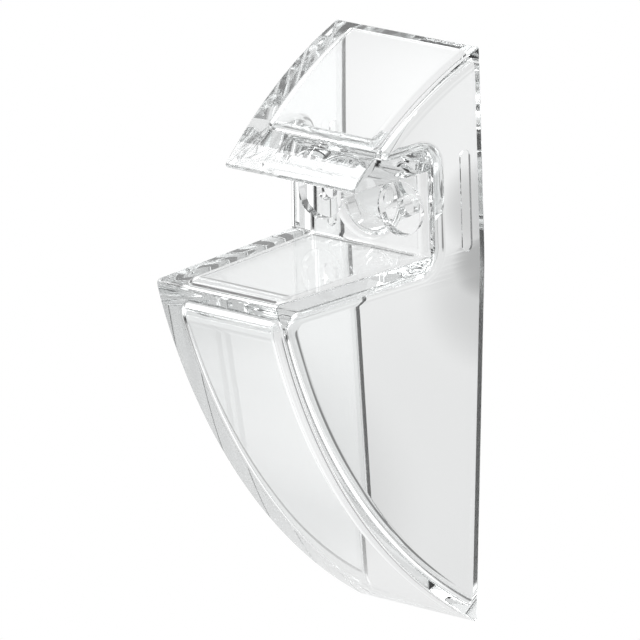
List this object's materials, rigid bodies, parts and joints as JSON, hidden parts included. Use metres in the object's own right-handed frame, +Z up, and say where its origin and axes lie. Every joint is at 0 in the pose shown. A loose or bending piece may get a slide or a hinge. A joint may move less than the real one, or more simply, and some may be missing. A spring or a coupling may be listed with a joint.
{
  "type": "shelf bracket",
  "caption": "Clear moulded shelf bracket that grips a board in a slot between a short upper jaw and a long curved lower jaw, hollow towards the wall.",
  "frame": {"origin": "on the wall plane, on the axis of the spacer boss, level with the middle of the board", "axes": "+Z up along the bracket's height, +Y into the wall, so the jaws reach out along -Y, and +X across the bracket to the right as seen from the room"},
  "size_m": [0.0402, 0.0626, 0.127],
  "materials": {
    "clear_plastic": "polished clear moulding"
  },
  "bodies": {
    "root": {"bracket_body": "clear_plastic"}
  },
  "joints": []
}
